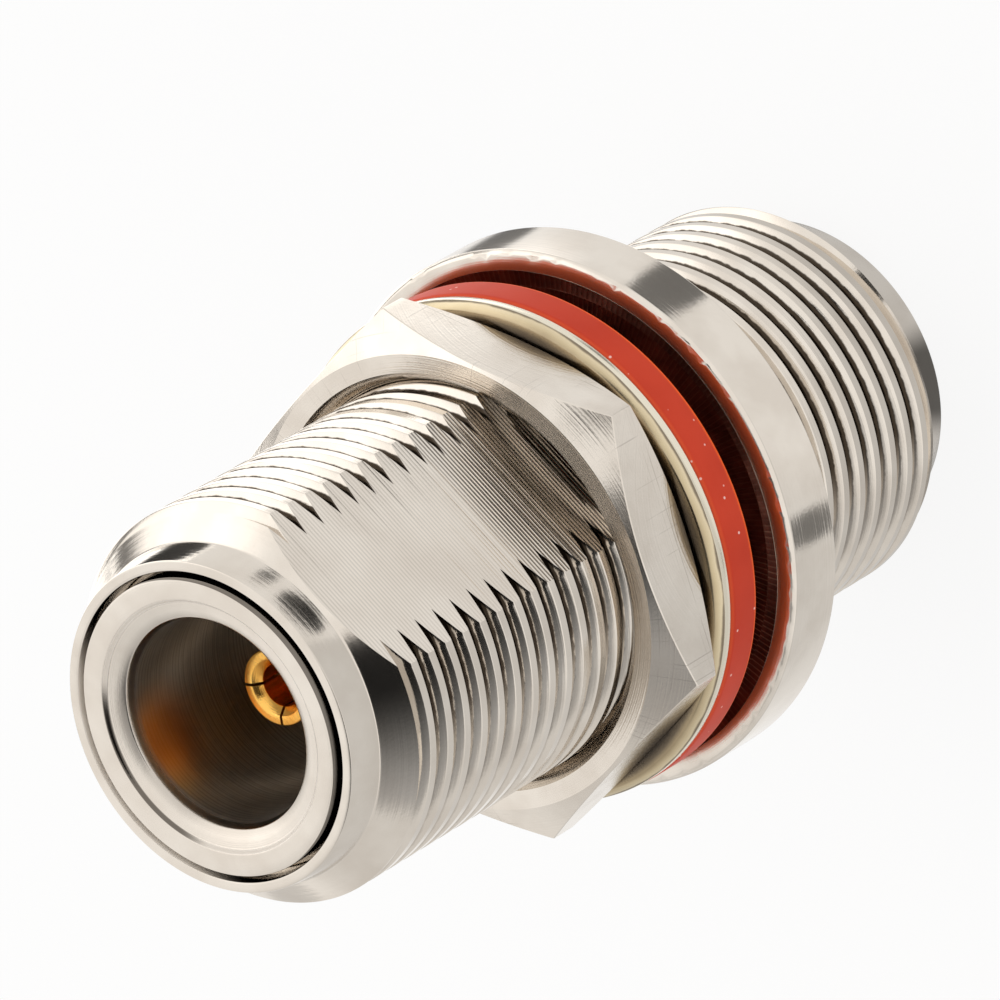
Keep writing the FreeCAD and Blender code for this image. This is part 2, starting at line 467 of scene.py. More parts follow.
def shell_mesh():
    """The whole shell: far barrel, flange, bores, and the near barrel with its milled flat."""
    low = LAND_LENGTH + LAND_MARGIN
    nose = soften([
        *mouth_entry(lambda depth: depth)[::-1], (RIM_R, 0), (LAND_R, LAND_LENGTH), (nose_cap(low), low)],
        SHELL_EDGE, closed=False)
    flange = soften([
        (CREST_R, FLANGE_FOOT - THREAD_COLLAR), (CREST_R, FLANGE_FOOT), (FLANGE_R - FOOT_BEVEL, FLANGE_FOOT),
        (FLANGE_R, FLANGE_FOOT + FOOT_BEVEL), (FLANGE_R, FLANGE_TOP - TOP_BEVEL), (BEVEL_R, FLANGE_TOP),
        (RECESS_R, FLANGE_TOP), (RECESS_R, RECESS_FLOOR), (GROOVE_R, RECESS_FLOOR),
        (GROOVE_R, GROOVE_FLOOR), (CREST_R, GROOVE_FLOOR)], SHELL_EDGE, closed=False)
    bores = [
        (SLEEVE_SEAT_R, TOP - SEAT_TURNED), (SLEEVE_SEAT_R, BEAD_TOP), (BEAD_SEAT_R, BEAD_TOP),
        (BEAD_SEAT_R, BEAD_FOOT), (LINE_R, BEAD_FOOT), (LINE_R, MOUTH_DEPTH), (MOUTH_R, MOUTH_DEPTH),
        (MOUTH_R, ENTRY_DEPTH)]

    def column_at(angle):
        thread = thread_rows(angle, low, FAR_THREAD_TOP, nose_cap, far_floor, NOSE_LENGTH)
        ragged = [(r - burr(angle) if on_bevel(r, z) else r, z) for r, z in flange]
        return nose + thread + ragged

    bm = bmesh.new()
    ring(bm, column_at)
    ring(bm, lambda angle: bores)
    for part in (near_barrel(), flat_ledge()):
        bm.from_mesh(part)
        bpy.data.meshes.remove(part)
    weld(bm)
    shade_recess(bm)
    return bm


# Centre contacts

def slot_cutter(turn, tip, sign):
    """A thin block for a cut through the middle of a socket, at an angle in degrees."""
    bm = bmesh.new()
    bmesh.ops.create_cube(bm, size=1.0)
    size = Matrix.Diagonal((SLOT_REACH * MM, SLOT_WIDTH * MM, (SLOT_LENGTH + SLOT_OVERRUN) * MM, 1))
    spin = Matrix.Rotation(math.radians(turn), 4, "Z")
    lift = Matrix.Translation((0, 0, (tip - sign * (SLOT_LENGTH - SLOT_OVERRUN) / 2) * MM))
    bmesh.ops.transform(bm, matrix=lift @ spin @ size, verts=bm.verts)
    return add_object("cutter", to_mesh("cutter", bm))


def socket_mesh(outline, tip, sign):
    """A turned socket with two cuts through its middle, which part it into four fingers."""
    bm = bmesh.new()
    grid_mesh(bm, lathe_columns(soften(outline, CONTACT_EDGE), FEW_COLUMNS), True)
    weld(bm)
    bmesh.ops.recalc_face_normals(bm, faces=bm.faces)
    blank = add_object("blank", to_mesh("blank", bm))
    cutters = [slot_cutter(turn, tip, sign) for turn in (45, 135)]
    for cutter in cutters:
        cut = blank.modifiers.new("cut", "BOOLEAN")
        cut.operation = "DIFFERENCE"
        cut.solver = "EXACT"
        cut.object = cutter
    bpy.context.view_layer.update()
    made = bpy.data.meshes.new_from_object(blank.evaluated_get(bpy.context.evaluated_depsgraph_get()))
    bm = bmesh.new()
    bm.from_mesh(made)
    for each in [blank, *cutters]:
        bpy.data.objects.remove(each)
    return bm


def contact(name, tip, sign, base, material, node_name):
    """A centre contact from the outline of its base, with a slotted socket that points up or down."""
    outline = base + [
        (CONTACT_R, tip - sign * CONTACT_LIP), (CONTACT_R - CONTACT_LIP, tip), (SOCKET_R + SOCKET_CONE, tip),
        (SOCKET_R, tip - sign * SOCKET_CONE), (SOCKET_R, tip - sign * SOCKET_DEPTH),
        (0, tip - sign * SOCKET_DEPTH)]
    piece(name, socket_mesh(outline, tip, sign), "connector", [material], node_name)


# Hexagon nut

def hexagon():
    """Directions and radii round the hexagon, with its corners rounded."""
    points = []
    turns = [math.radians(NUT_TURN + 60 * k) for k in range(6)]
    corners = [Vector((NUT_CORNER_R * math.cos(turn), NUT_CORNER_R * math.sin(turn))) for turn in turns]
    for k in range(6):
        corner, following = corners[k], corners[(k + 1) % 6]
        inward = -corner.normalized()
        centre = corner + inward * CORNER_ROUND / math.cos(math.radians(30))
        for step in range(CORNER_STEPS + 1):
            angle = turns[k] + math.radians(-30 + 60 * step / CORNER_STEPS)
            points.append(centre + CORNER_ROUND * Vector((math.cos(angle), math.sin(angle))))
        for step in range(1, SIDE_STEPS):
            points.append(corner.lerp(following, step / SIDE_STEPS))
    return [(math.atan2(p.y, p.x), p.length) for p in points]


def nut_ridges(angle):
    """Inner rows of the nut: its thread stands in the grooves of the barrel's, just clear of them."""
    wide = (NUT_BORE_R - ROOT_R) / FLANK_SLOPE - RIDGE_SLACK
    narrow = (RIDGE_TIP_R - ROOT_R) / FLANK_SLOPE - RIDGE_SLACK / 2
    profile = [(NUT_BORE_R, -wide), (RIDGE_TIP_R, -narrow), (RIDGE_TIP_R, narrow), (NUT_BORE_R, wide)]
    rows = []
    for turn in turns_between(NUT_FOOT, NUT_TOP):
        middle = CREST_HEIGHT + PITCH * (angle / TURN + turn + 0.5)
        for r, offset in profile:
            z = min(max(middle + offset, NUT_FOOT), NUT_TOP)
            mouth = NUT_BORE_R + NUT_LEAD_IN - min(z - NUT_FOOT, NUT_TOP - z)
            rows.append((max(r, mouth), z))
    return rows


def nut_outside(reach):
    """Outer rows of the nut where its side stands at a distance: a chamfer, the side, a chamfer."""
    fall = (reach - NUT_FACE_R) * NUT_SLOPE
    return [
        (NUT_FACE_R, NUT_TOP),
        ((NUT_FACE_R + reach) / 2, NUT_TOP - fall / 2),
        (reach - NUT_LIP, NUT_TOP - fall + NUT_LIP * NUT_SLOPE),
        (reach, NUT_TOP - fall - NUT_LIP),
        (reach, (NUT_FOOT + NUT_TOP) / 2),
        (reach, NUT_FOOT + fall + NUT_LIP),
        (reach - NUT_LIP, NUT_FOOT + fall - NUT_LIP * NUT_SLOPE),
        ((NUT_FACE_R + reach) / 2, NUT_FOOT + fall / 2),
        (NUT_FACE_R, NUT_FOOT),
    ]


def nut_mesh():
    """Both faces, the chamfers, the six sides and the threaded bore."""
    sides = sorted((angle % TURN, reach) for angle, reach in hexagon())
    sides.append((sides[0][0] + TURN, sides[0][1]))
    bm = bmesh.new()
    grid_mesh(bm, [[(r, z, angle) for r, z in nut_ridges(angle) + nut_outside(reach)]
                   for angle, reach in sides], True)
    weld(bm)
    return bm


# Shader nodes

def node(tree, kind, **values):
    """A new shader node with its inputs set by name."""
    made = tree.nodes.new(kind)
    for key, value in values.items():
        made.inputs[key].default_value = value
    return made


def math_node(tree, operation, *values):
    """A math node fed by numbers or by other nodes' outputs."""
    made = tree.nodes.new("ShaderNodeMath")
    made.operation = operation
    for index, value in enumerate(values):
        if isinstance(value, (int, float)):
            made.inputs[index].default_value = value
        else:
            tree.links.new(value, made.inputs[index])
    return made.outputs[0]


def product(tree, first, *others):
    """The first value times all the others."""
    for other in others:
        first = math_node(tree, "MULTIPLY", first, other)
    return first


def rest(tree, share):
    """What a share leaves of one."""
    return math_node(tree, "SUBTRACT", 1.0, share)


def vector_math(tree, operation, first, second):
    """A vector node on an output and a fixed vector, with its plain number as the result."""
    made = tree.nodes.new("ShaderNodeVectorMath")
    made.operation = operation
    tree.links.new(first, made.inputs[0])
    made.inputs[1].default_value = second
    return made.outputs["Value"]


def fade(tree, value, empty, full):
    """0 where the value is at the first limit, 1 at the second, and smooth between."""
    made = tree.nodes.new("ShaderNodeMapRange")
    made.interpolation_type = "SMOOTHSTEP"
    made.inputs["From Min"].default_value = empty
    made.inputs["From Max"].default_value = full
    tree.links.new(value, made.inputs["Value"])
    return made.outputs[0]


def spread(tree, value, low, high):
    """Noise from 0.3 to 0.7 spread between two limits."""
    made = tree.nodes.new("ShaderNodeMapRange")
    made.inputs["To Min"].default_value = low
    made.inputs["To Max"].default_value = high
    made.inputs["From Min"].default_value = 0.3
    made.inputs["From Max"].default_value = 0.7
    tree.links.new(value, made.inputs["Value"])
    return made.outputs[0]


def darken(tree, level, cover, amount):
    """The level with a share taken off where something covers it."""
    return product(tree, level, rest(tree, product(tree, cover, amount)))


def blend(tree, share, first, second):
    """Two shaders mixed by a share."""
    mix = tree.nodes.new("ShaderNodeMixShader")
    for index, source in enumerate((share, first, second)):
        tree.links.new(source, mix.inputs[index])
    return mix.outputs[0]


def ramp(tree, value, stops):
    """Colours along a value, from (position, colour) stops."""
    made = tree.nodes.new("ShaderNodeValToRGB")
    elements = made.color_ramp.elements
    while len(elements) < len(stops):
        elements.new(0.5)
    for element, (position, colour) in zip(elements, stops):
        element.position = position
        element.color = (*colour, 1)
    tree.links.new(value, made.inputs[0])
    return made.outputs[0]


def tint(tree, base, share, colour):
    """The base colour turned towards another colour by a share."""
    made = tree.nodes.new("ShaderNodeMix")
    made.data_type = "RGBA"
    colour_inputs = [each for each in made.inputs if each.type == "RGBA"]
    tree.links.new(share, made.inputs[0])
    tree.links.new(base, colour_inputs[0])
    colour_inputs[1].default_value = (*colour, 1)
    return [each for each in made.outputs if each.type == "RGBA"][0]


def add_bump(tree, shader, layers):
    """Chains bump nodes from (height, distance, strength) layers into the shader's normal."""
    normal = None
    for height, distance, strength in layers:
        bump = node(tree, "ShaderNodeBump", Distance=distance, Strength=strength)
        tree.links.new(height, bump.inputs["Height"])
        if normal is not None:
            tree.links.new(normal, bump.inputs["Normal"])
        normal = bump.outputs[0]
    tree.links.new(normal, shader.inputs["Normal"])


def polar(tree, place):
    """Height, distance from the axis, and angle of the place on the surface."""
    split = tree.nodes.new("ShaderNodeSeparateXYZ")
    tree.links.new(place, split.inputs[0])
    x, y, z = split.outputs
    square = math_node(tree, "MULTIPLY", y, y)
    reach = math_node(tree, "SQRT", math_node(tree, "MULTIPLY_ADD", x, x, square))
    return z, reach, math_node(tree, "ARCTAN2", y, x)


def lines(tree, along, spacing, detail=2):
    """Uneven fine lines across a direction, given in metres, with a spacing in millimetres."""
    noise = node(tree, "ShaderNodeTexNoise", Detail=detail)
    noise.noise_dimensions = "1D"
    noise.inputs["Scale"].default_value = 1 / (spacing * MM)
    tree.links.new(along, noise.inputs["W"])
    return noise.outputs["Fac"]


def turned_lines(tree, place, spacing):
    """Fine rings left by a lathe tool: noise that varies only with height and radius."""
    z, reach, _ = polar(tree, place)
    return lines(tree, math_node(tree, "MULTIPLY_ADD", reach, FACE_LINES, z), spacing)


def blotches(tree, place, size, detail=3):
    """Soft irregular noise of a size in millimetres."""
    noise = node(tree, "ShaderNodeTexNoise", Scale=1 / (size * MM), Detail=detail)
    tree.links.new(place, noise.inputs["Vector"])
    return noise.outputs["Fac"]


# Finishes

NICKEL = (0.77, 0.715, 0.645)
NICKEL_DULL = (0.70, 0.64, 0.57)
SOOT = (0.07, 0.056, 0.043)

# Tool marks: grain and mill line in millimetres, lines on a face for each on a wall, ticks all round
GRAIN = 0.13
MILL_LINE = 0.17
FACE_LINES = 1.7
RECESS_TICKS = 250

# Sides of the part as level directions: front and back, and the one that is lower in the photograph
FRONT_SIDE = (-0.288, -0.958, 0)
BACK_SIDE = (0.23, 0.97, 0)
LOWER_SIDE = (-0.958, 0.288, 0)

# Depth of metal left free of painted shade below the crests, in millimetres: in front, behind, its caps,
# waver and blur
UNSHADED_FRONT = 0.45
UNSHADED_BACK = 0.36
UNSHADED_CAP = 0.21
UNSHADED_CAP_RISE = 0.06
UNSHADED_WAVER = 0.12
UNSHADED_BLUR = 0.03

# Painted shade and painted reflection, in millimetres: heights between the barrels, distances from the part's
# middle, heights on the flat
NEAR_BEGINS, NEAR_FULL = 14, 17
SHADE_ENDS, SHADE_FULL = 16.0, 15.8
NUT_REFLECTION_ENDS, NUT_REFLECTION_FULL = 27.2, 26.3

# Warm light in the near bore, from the gold: its middle and reach in millimetres, and its colour
GLOW_PLACE = Vector((1.7, 3.7, 36.3)) * MM
GLOW_FADED, GLOW_SOLID = 2.6, 0.5
GLOW_COLOUR = (1.0, 0.42, 0.08)


def start_material(name, metallic, roughness):
    """A principled material with its tree, shader, and object coordinates ready to use."""
    mat = bpy.data.materials.new(name)
    mat.use_nodes = True
    tree = mat.node_tree
    shader = tree.nodes["Principled BSDF"]
    shader.inputs["Metallic"].default_value = metallic
    shader.inputs["Roughness"].default_value = roughness
    place = tree.nodes.new("ShaderNodeTexCoord").outputs["Object"]
    return mat, tree, shader, place


def plated(name, rough, line_spacing, line_depth, bright=NICKEL, dull=NICKEL_DULL, grain_depth=0.0025):
    """Bright plate with turning lines, patches of duller finish and a fine grain."""
    mat, tree, shader, place = start_material(name, 1.0, rough[0])
    cloud = blotches(tree, place, 2.0)
    colour = ramp(tree, cloud, [(0.35, dull), (0.65, bright)])
    tree.links.new(colour, shader.inputs["Base Color"])
    tree.links.new(spread(tree, cloud, rough[1], rough[0]), shader.inputs["Roughness"])
    rings = turned_lines(tree, place, line_spacing)
    grain = blotches(tree, place, GRAIN, 2)
    add_bump(tree, shader, [(rings, line_depth * MM, 0.8), (grain, grain_depth * MM, 0.6)])
    return mat, tree, shader, place, colour


def thread_shade(tree, place, z, reach, facing):
    """Share of painted shade in the thread's grooves, which climbs to the crests at the sides, stays low
    elsewhere and is weaker on the lower side.
    """
    on_near = fade(tree, z, NEAR_BEGINS * MM, NEAR_FULL * MM)
    cap = math_node(tree, "MULTIPLY_ADD", on_near, UNSHADED_CAP_RISE * MM, UNSHADED_CAP * MM)
    front = product(tree, math_node(tree, "MAXIMUM", facing, 0.05), UNSHADED_FRONT * MM)
    back = product(tree, fade(tree, facing, 0.15, -0.15), UNSHADED_BACK * MM)
    # clean is the depth below the crests that the painted shade leaves free
    clean = math_node(tree, "ADD", math_node(tree, "MINIMUM", front, cap), back)
    uneven = product(tree, math_node(tree, "SUBTRACT", blotches(tree, place, 0.4), 0.5), UNSHADED_WAVER * MM)
    level = math_node(tree, "ADD", math_node(tree, "ADD", reach, clean), uneven)
    deep = fade(tree, level, (CREST_R + UNSHADED_BLUR) * MM, (CREST_R - UNSHADED_BLUR) * MM)
    from_middle = math_node(tree, "ABSOLUTE", math_node(tree, "SUBTRACT", z, TOP / 2 * MM))
    threaded = fade(tree, from_middle, SHADE_ENDS * MM, SHADE_FULL * MM)
    lower = math_node(tree, "DIVIDE", vector_math(tree, "DOT_PRODUCT", place, LOWER_SIDE), reach)
    return product(tree, deep, darken(tree, threaded, fade(tree, lower, 0.45, 0.8), 0.8))


def gap_wall(tree, z, reach, facing):
    """Shares of the ring gap's outer wall that look closed, at the back, and that carry painted shade,
    elsewhere.
    """
    seat = fade(tree, reach, (SLEEVE_SEAT_R + 0.03) * MM, (SLEEVE_SEAT_R + 0.01) * MM)
    seat = product(tree, seat, fade(tree, z, (TOP - 0.9) * MM, (TOP - 0.7) * MM))
    closed = product(tree, seat, fade(tree, facing, -0.4, -0.8))
    return closed, product(tree, math_node(tree, "SUBTRACT", seat, closed), 0.9)


def nickel_turned():
    """Plate of the barrels and flange, with painted shade in the thread's grooves and in the ring gap."""
    rough = (0.09, 0.15)
    mat, tree, shader, place, colour = plated("nickel_turned", rough, 0.10, 0.003)
    z, reach, _ = polar(tree, place)
    facing = math_node(tree, "DIVIDE", vector_math(tree, "DOT_PRODUCT", place, FRONT_SIDE), reach)
    closed, dark = gap_wall(tree, z, reach, facing)
    tree.links.new(rest(tree, closed), shader.inputs["Metallic"])
    # Painted shade of the thread's grooves and of the ring gap darkens the plate
    share = math_node(tree, "MAXIMUM", thread_shade(tree, place, z, reach, facing), dark)
    tree.links.new(tint(tree, colour, share, SOOT), shader.inputs["Base Color"])
    rim = product(tree, fade(tree, z, (FLANGE_TOP - 0.06) * MM, (FLANGE_TOP - 0.02) * MM),
                  fade(tree, reach, (CREST_R + 0.2) * MM, (RECESS_R - 0.1) * MM))
    cloudy = spread(tree, blotches(tree, place, 2.0), rough[1], rough[0])
    tree.links.new(math_node(tree, "MULTIPLY_ADD", rim, 0.13, cloudy), shader.inputs["Roughness"])
    return mat


def nickel_milled():
    """Plate of the flat, with the cutter's lines across the barrel and a painted reflection that darkens
    those lines, most near the nut.
    """
    mat, tree, shader, place = start_material("nickel_milled", 1.0, 0.13)
    z, _, _ = polar(tree, place)
    wave = math_node(tree, "SINE", math_node(tree, "MULTIPLY", z, TURN / (MILL_LINE * MM)))
    height = product(tree, wave, spread(tree, lines(tree, z, 0.30, 1), 0.3, 1.3))
    colour = ramp(tree, blotches(tree, place, 3), [(0.35, NICKEL_DULL), (0.65, NICKEL)])
    # Painted reflection of the nut: dark stripes along the cutter's lines, strongest close to the nut
    near_nut = fade(tree, z, NUT_REFLECTION_ENDS * MM, NUT_REFLECTION_FULL * MM)
    mirrored_share = math_node(tree, "MULTIPLY_ADD", near_nut, 0.65, 0.15)
    painted_reflection = product(tree, fade(tree, wave, -0.1, 0.5), mirrored_share)
    tree.links.new(tint(tree, colour, painted_reflection, SOOT), shader.inputs["Base Color"])
    grain = blotches(tree, place, GRAIN, 2)
    add_bump(tree, shader, [(height, 0.004 * MM, 0.9), (grain, 0.002 * MM, 0.5)])
    return mat


def nickel_recess_shaded():
    """Dull plate of the flange's recess, dark red-brown with painted shade and a painted red reflection of
    the seal, with fine radial tool marks.
    """
    mat, tree, shader, place = start_material("nickel_recess_shaded", 1.0, 0.28)
    _, _, angle = polar(tree, place)
    ticks = math_node(tree, "SINE", math_node(tree, "MULTIPLY", angle, RECESS_TICKS))
    cloud = blotches(tree, place, 1.2)
    # Painted shade and a painted red reflection of the seal make the recess dark red-brown
    colour = ramp(tree, cloud, [(0.35, (0.10, 0.035, 0.025)), (0.65, (0.19, 0.075, 0.055))])
    seen = math_node(tree, "MULTIPLY_ADD", fade(tree, blotches(tree, place, 5), 0.5, 0.62), 0.4, 0.06)
    mark = product(tree, fade(tree, ticks, 0.55, 0.95), seen)
    tree.links.new(tint(tree, colour, mark, (0.62, 0.48, 0.38)), shader.inputs["Base Color"])
    add_bump(tree, shader, [(ticks, 0.004 * MM, 0.5)])
    return mat


def sleeve_bore(tree, place, colour, reach, inside):
    """Colour of the sleeve's mouth and bore: painted shade at the throat, ringed by the tool, and lit by the
    gold with painted warm light.
    """
    # Painted shade: the lead-in darkens towards the throat
    throat_shade = fade(tree, reach, (MOUTH_R + 0.55) * MM, (MOUTH_R + 0.15) * MM)
    shaded = tint(tree, colour, product(tree, throat_shade, 0.28, rest(tree, inside)), SOOT)
    tracks = fade(tree, turned_lines(tree, place, 0.09), 0.42, 0.62)
    shaded = tint(tree, shaded, product(tree, inside, 0.25, tracks), SOOT)
    warm = fade(tree, vector_math(tree, "DISTANCE", place, GLOW_PLACE), GLOW_FADED * MM, GLOW_SOLID * MM)
    return tint(tree, shaded, product(tree, warm, inside, 0.75), GLOW_COLOUR)


def nickel_sleeve():
    """Plate of the insert sleeve, with a matt edge at its mouth, painted shade on that edge at the back, and
    a crescent of painted shade beside the ring gap.
    """
    mat, tree, shader, place, colour = plated("nickel_sleeve", (0.13, 0.2), 0.11, 0.004, grain_depth=0.004)
    _, reach, _ = polar(tree, place)
    inside = fade(tree, reach, (MOUTH_R + 0.08) * MM, (MOUTH_R + 0.02) * MM)
    edge = product(tree, fade(tree, reach, (ENTRY_R - 0.15) * MM, (ENTRY_R - 0.1) * MM),
                   fade(tree, reach, (ENTRY_R + 0.03) * MM, ENTRY_R * MM))
    beside = fade(tree, vector_math(tree, "DOT_PRODUCT", place, BACK_SIDE), 3.3 * MM, 4.3 * MM)
    plain = product(tree, edge, rest(tree, beside))
    rough = math_node(tree, "MULTIPLY_ADD", inside, 0.15, 0.16)
    tree.links.new(math_node(tree, "MULTIPLY_ADD", plain, 0.2, rough), shader.inputs["Roughness"])
    tree.links.new(rest(tree, plain), shader.inputs["Metallic"])
    near = vector_math(tree, "DOT_PRODUCT", place, FRONT_SIDE)
    proud = math_node(tree, "MULTIPLY_ADD", math_node(tree, "MAXIMUM", near, 0.0), 0.042, reach)
    # Painted shade: a crescent beside the ring gap on the front side, and the entry edge at the back
    gap_shade_crescent = product(tree, fade(tree, proud, (HEAD_R - 0.03) * MM, HEAD_R * MM),
                       fade(tree, near, -1 * MM, 1.5 * MM), 0.82)
    mark = math_node(tree, "MAXIMUM", product(tree, edge, beside, 0.85), gap_shade_crescent)
    shaded = sleeve_bore(tree, place, colour, reach, inside)
    tree.links.new(tint(tree, shaded, mark, SOOT), shader.inputs["Base Color"])
    return mat


def nickel_nut():
    """Plate of the nut, with faint darker scratches along its sides."""
    mat, tree, shader, place, colour = plated("nickel_nut", (0.14, 0.24), 0.10, 0.006, grain_depth=0.004)
    z, _, angle = polar(tree, place)
    along = fade(tree, lines(tree, z, 0.10), 0.62, 0.72)
    across = fade(tree, lines(tree, math_node(tree, "MULTIPLY", angle, 10 * MM), 0.12), 0.66, 0.74)
    patches = fade(tree, blotches(tree, place, 2.5), 0.45, 0.6)
    scratch = product(tree, math_node(tree, "MAXIMUM", along, across), patches, 0.22)
    tree.links.new(tint(tree, colour, scratch, SOOT), shader.inputs["Base Color"])
    return mat


def washer_plate():
    """Yellowish plate: pale on the outer wall, tan on the bevel and darkened by painted shade close to the
    nut.
    """
    mat, tree, shader, place, _ = plated("washer_plate", (0.16, 0.24), 0.09, 0.004)
    _, reach, _ = polar(tree, place)
    away = math_node(tree, "MULTIPLY_ADD", blotches(tree, place, 1.6), 0.16 * MM, reach)
    # Painted shade: the top is darkest next to the nut and turns tan further out
    stops = [(9.50, (0.06, 0.05, 0.04)), (9.72, (0.15, 0.12, 0.085)), (9.93, (0.38, 0.30, 0.19)),
             (10.08, (0.58, 0.48, 0.31)), (10.19, (0.68, 0.58, 0.40)), (10.24, (0.22, 0.18, 0.13))]
    near, far = stops[0][0], stops[-1][0]
    across = math_node(tree, "DIVIDE", math_node(tree, "SUBTRACT", away, near * MM), (far - near) * MM)
    shaded_top = ramp(tree, across, [((r - near) / (far - near), colour) for r, colour in stops])
    wall = fade(tree, reach, (WASHER_WALL_R - 0.03) * MM, (WASHER_WALL_R - 0.01) * MM)
    tree.links.new(tint(tree, shaded_top, wall, (0.81, 0.75, 0.62)), shader.inputs["Base Color"])
    return mat


def gold_plate():
    """Gold plate of both centre contacts."""
    return plated("gold", (0.18, 0.30), 0.08, 0.004, (1.0, 0.58, 0.14), (0.94, 0.42, 0.07), 0.012)[0]


def silicone():
    """Satin red silicone with a fine grain, pale dust and lit edges."""
    mat, tree, shader, place = start_material("red_silicone", 0.0, 0.5)
    shader.inputs["Specular IOR Level"].default_value = 0.2
    cloud = blotches(tree, place, 4)
    colour = ramp(tree, cloud, [(0.3, (0.51, 0.036, 0.011)), (0.7, (0.60, 0.050, 0.017))])
    z, _, _ = polar(tree, place)
    upper = product(tree, fade(tree, z, (SEAL_TOP - 0.22) * MM, (SEAL_TOP - 0.08) * MM), 0.5)
    colour = tint(tree, colour, upper, (0.80, 0.11, 0.03))
    lower = product(tree, fade(tree, z, (SEAL_FOOT + 0.32) * MM, (SEAL_FOOT + 0.16) * MM), 0.8)
    colour = tint(tree, colour, lower, (1.0, 0.15, 0.02))
    dust = node(tree, "ShaderNodeTexVoronoi", Scale=1 / (0.7 * MM))
    tree.links.new(place, dust.inputs["Vector"])
    speck = product(tree, fade(tree, dust.outputs["Distance"], 0.10, 0.06), 0.6)
    tree.links.new(tint(tree, colour, speck, (0.95, 0.8, 0.75)), shader.inputs["Base Color"])
    add_bump(tree, shader, [(blotches(tree, place, 0.1, 2), 0.006 * MM, 0.5)])
    return mat


def bead_white():
    """Plain white insulator with a faint machined grain."""
    mat, tree, shader, place = start_material("white_bead", 0.0, 0.45)
    colour = ramp(tree, blotches(tree, place, 1.5), [(0.3, (0.84, 0.83, 0.80)), (0.7, (0.92, 0.91, 0.88))])
    tree.links.new(colour, shader.inputs["Base Color"])
    add_bump(tree, shader, [(turned_lines(tree, place, 0.15), 0.004 * MM, 0.4)])
    return mat


# Pieces

piece("threaded_shell", shell_mesh(), "connector",
      [nickel_turned(), nickel_milled(), nickel_recess_shaded()], "shell")

lathe("outer_contact_sleeve", soften([
    (LINE_R, BEAD_TOP), (SLEEVE_R, BEAD_TOP), (SLEEVE_R, TOP - HEAD_LENGTH), (HEAD_R, TOP - HEAD_LENGTH),
    (HEAD_R, TOP), *mouth_entry(lambda depth: TOP - depth), (MOUTH_R, TOP - MOUTH_DEPTH),
    (LINE_R, TOP - MOUTH_DEPTH)], RING_EDGE), "connector", nickel_sleeve(), "insert_sleeve")

lathe("bead", soften([
    (NECK_R + PRESS_GAP, BEAD_FOOT), (BEAD_R, BEAD_FOOT), (BEAD_R, BEAD_TOP), (NECK_R + PRESS_GAP, BEAD_TOP)],
    BEAD_EDGE), "connector", bead_white(), "insulating_bead", FEW_COLUMNS)

lathe("panel_seal", [
    (SEAL_BORE_R, SEAL_FOOT),
    *arc(SEAL_R - SEAL_ROUND, SEAL_FOOT + SEAL_ROUND, SEAL_ROUND, 270, 360, 6),
    *arc(SEAL_R - SEAL_ROUND, SEAL_TOP - SEAL_ROUND, SEAL_ROUND, 0, 90, 6),
    (SEAL_BORE_R, SEAL_TOP)], "connector", silicone(), "gasket")

lathe("flat_washer", soften([
    (WASHER_BORE_R, WASHER_FOOT), (WASHER_R, WASHER_FOOT), (WASHER_R, WASHER_TOP - WASHER_BEVEL),
    (WASHER_R - WASHER_BEVEL, WASHER_TOP), (WASHER_BORE_R, WASHER_TOP)], RING_EDGE),
    "washer_ring", washer_plate(), "washer")

gold = gold_plate()

contact("near_centre_contact", TOP - CONTACT_RECESS, 1, [
    (0, BEAD_FOOT), (NECK_R, BEAD_FOOT), (NECK_R, BEAD_TOP), (CONTACT_R, BEAD_TOP)], gold, "near_contact")

contact("far_centre_contact", CONTACT_RECESS, -1, [
    (0, BEAD_FOOT + SPIGOT_LENGTH), (SPIGOT_R, BEAD_FOOT + SPIGOT_LENGTH), (SPIGOT_R, BEAD_FOOT),
    (CONTACT_R, BEAD_FOOT)], gold, "far_contact")

piece("hexagon_nut", nut_mesh(), "nut", [nickel_nut()], "hex_nut")

# Camera: place in metres, turn about the three axes in degrees, lens and film width in millimetres

CAMERA_PLACE = (-0.0893109, -0.3039807, 0.35165)
CAMERA_TURN = (-25.6106, 36.5156, -145.5603)

camera = bpy.data.cameras.new("camera")
camera.sensor_width = 36
camera.lens = 434.62
camera.clip_start = 0.01
camera.clip_end = 20
camera_obj = add_object("camera", camera)
camera_obj.location = CAMERA_PLACE
camera_obj.rotation_euler = [math.radians(turn) for turn in CAMERA_TURN]
bpy.context.scene.camera = camera_obj

# Floor and light

# Dark cards round the object: middle, solid radius and faded radius in millimetres, then darkness
CARDS = [
    ((19.8, 2.5), 2.4, 4.2, 0.8),
    ((11.8, -19.8), 3.2, 4.7, 0.8),
    ((-20.3, -12.3), 1.7, 2.9, 0.75),
    ((78, 12), 20.0, 26.0, 0.97),
    ((74, -86), 9.0, 14.0, 0.95),
    ((-4, -2), 11.0, 15.0, 0.32),
    ((-4.5, -5.2), 1.2, 2.8, 0.8),
    ((340, 330), 60.0, 130.0, 0.7),
]

# Patches of the studio: azimuth, height, solid and faded reach in degrees, then darkness, below 0 for light
PATCHES = [
    (170, 70, 14, 27, 0.5),
    (150, 50, 8, 20, 0.45),
    (135, 32, 20, 47, 0.25),
    (12, 32, 10, 38, -0.6),
]

